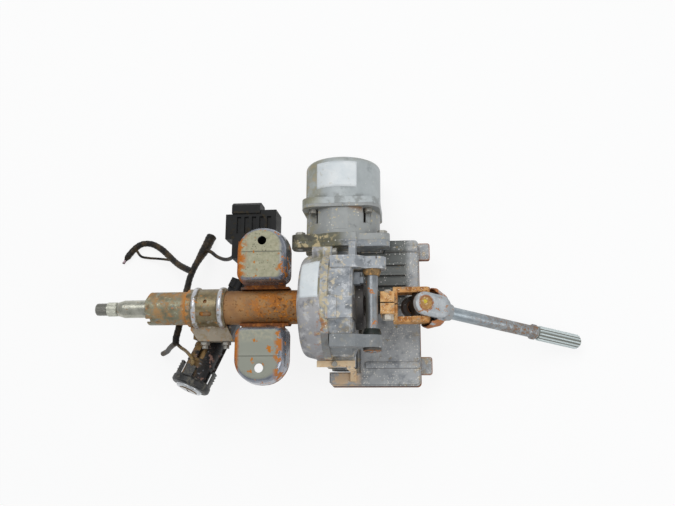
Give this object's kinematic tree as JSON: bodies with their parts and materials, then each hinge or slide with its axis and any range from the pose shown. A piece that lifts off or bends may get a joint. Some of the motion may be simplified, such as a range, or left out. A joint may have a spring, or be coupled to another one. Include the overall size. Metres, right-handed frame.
{
  "type": "steering column",
  "caption": "Car steering column with electric assist: jacket, steering lock, worm drive with motor and control unit, and a universal joint with a splined shaft.",
  "frame": {"origin": "centre of the lower pivot sleeve, between the two arms of the gear housing", "axes": "+X along the column from the steering wheel to the rack, +Y along the pivot towards the motor, +Z out of the mounting faces"},
  "size_m": [0.5865, 0.2867, 0.164],
  "materials": {
    "zinc_tube": "zinc plated, spotted with rust",
    "rusty_tube": "even brown rust",
    "pressed_steel": "zinc plated pressing",
    "rusty_sheet": "rusty sheet steel",
    "steel_screws": "plated",
    "cast_aluminium": "raw casting with dirt",
    "zinc_steel": "zinc plated",
    "rubber": "matte",
    "rusty_washer": "rust",
    "bearing_steel": "ground",
    "coil_resin": "cast resin",
    "grey_plastic": "moulded",
    "magnet": "ferrite",
    "brown_plastic": "phenolic",
    "control_unit_cover": "dark cast cover",
    "circuit_board": "board",
    "dirty_strap": "dusty sheet",
    "lock_black": "black, dusty",
    "lock_silver": "worn plating",
    "harness_tape": "cloth tape",
    "shaft_steel": "turned steel",
    "gear_nylon": "nylon",
    "rusty_yoke": "orange rust",
    "copper_winding": "wound core",
    "zinc_yoke": "plated, rust at the rim",
    "lower_steel": "steel with brown stains"
  },
  "bodies": {
    "column": {"upper_tube": "zinc_tube", "lower_tube": "rusty_tube", "lock_clamp": "pressed_steel", "shear_bolts": "steel_screws", "saddle_bracket": "rusty_sheet", "cup_motor_side": "pressed_steel", "cup_key_side": "pressed_steel", "sensor_housing": "cast_aluminium", "housing_screws": "steel_screws", "gear_housing": "cast_aluminium", "pivot_sleeve": "zinc_steel", "pivot_bushes": "rubber", "pivot_washer": "rusty_washer", "shaft_bearings": "bearing_steel", "drive_bearings": "bearing_steel", "adjuster_plug": "zinc_steel", "sensor_coil": "coil_resin", "sensor_connector": "grey_plastic", "motor_can": "zinc_steel", "motor_end_housing": "cast_aluminium", "motor_screws": "steel_screws", "magnets": "magnet", "brush_holder": "brown_plastic", "ecu_cover": "control_unit_cover", "ecu_base": "rusty_sheet", "circuit_board": "circuit_board", "ecu_screws": "steel_screws", "ecu_strap": "dirty_strap", "lock_housing": "lock_black", "lock_trim": "lock_silver", "antenna_ring": "lock_black", "ignition_switch": "lock_black", "connector_block": "lock_black", "connector_holder": "rusty_sheet", "harness_trunk": "harness_tape", "antenna_lead": "harness_tape", "lower_tail": "harness_tape", "left_tail": "harness_tape", "thin_wire": "harness_tape", "connector_lead": "harness_tape"},
    "steering": {"steering_shaft": "shaft_steel", "torsion_bar": "shaft_steel", "sensor_sleeve": "shaft_steel", "output_shaft": "shaft_steel", "wheel_hub": "shaft_steel", "wheel_rim": "gear_nylon", "lock_collar": "shaft_steel", "input_yoke": "rusty_yoke", "input_cups": "bearing_steel", "pinch_bolt": "rusty_washer"},
    "drive": {"worm": "shaft_steel", "coupling": "shaft_steel", "armature": "copper_winding"},
    "cross": {"joint_cross": "bearing_steel"},
    "lower_shaft": {"output_yoke": "zinc_yoke", "output_cups": "bearing_steel", "intermediate_shaft": "lower_steel"},
    "key": {"lock_barrel": "lock_silver"},
    "lock_bolt": {"lock_bolt": "lock_silver"}
  },
  "joints": [
    {"name": "steering_turn", "type": "hinge", "parent": "column", "child": "steering", "pos_m": [0, 0, -0.026], "axis": [1, 0, 0], "continuous": true},
    {"name": "worm_spin", "type": "hinge", "parent": "column", "child": "drive", "pos_m": [-0.04, 0, -0.082], "axis": [0, 1, 0], "continuous": true},
    {"name": "cross_swing", "type": "hinge", "parent": "steering", "child": "cross", "pos_m": [0.051, 0, -0.026], "axis": [0, 1, 0], "range_deg": [-55.5, 4.5]},
    {"name": "shaft_swing", "type": "hinge", "parent": "cross", "child": "lower_shaft", "pos_m": [0.051, 0, -0.026], "axis": [0.4305, 0, 0.9026], "range_deg": [-21, 39]},
    {"name": "key_turn", "type": "hinge", "parent": "column", "child": "key", "pos_m": [-0.179, 0, -0.064], "axis": [-0.3664, -0.9069, 0.2079], "range_deg": [-30, 85]},
    {"name": "lock_bolt_slide", "type": "slide", "parent": "column", "child": "lock_bolt", "axis": [0, 0, 1], "range_m": [-0.0017, 0.00462]}
  ],
  "couplings": [
    {"joint": "worm_spin", "follows": "steering_turn", "ratio": -21},
    {"joint": "lock_bolt_slide", "follows": "key_turn", "m_per_rad": 0.0031007}
  ]
}
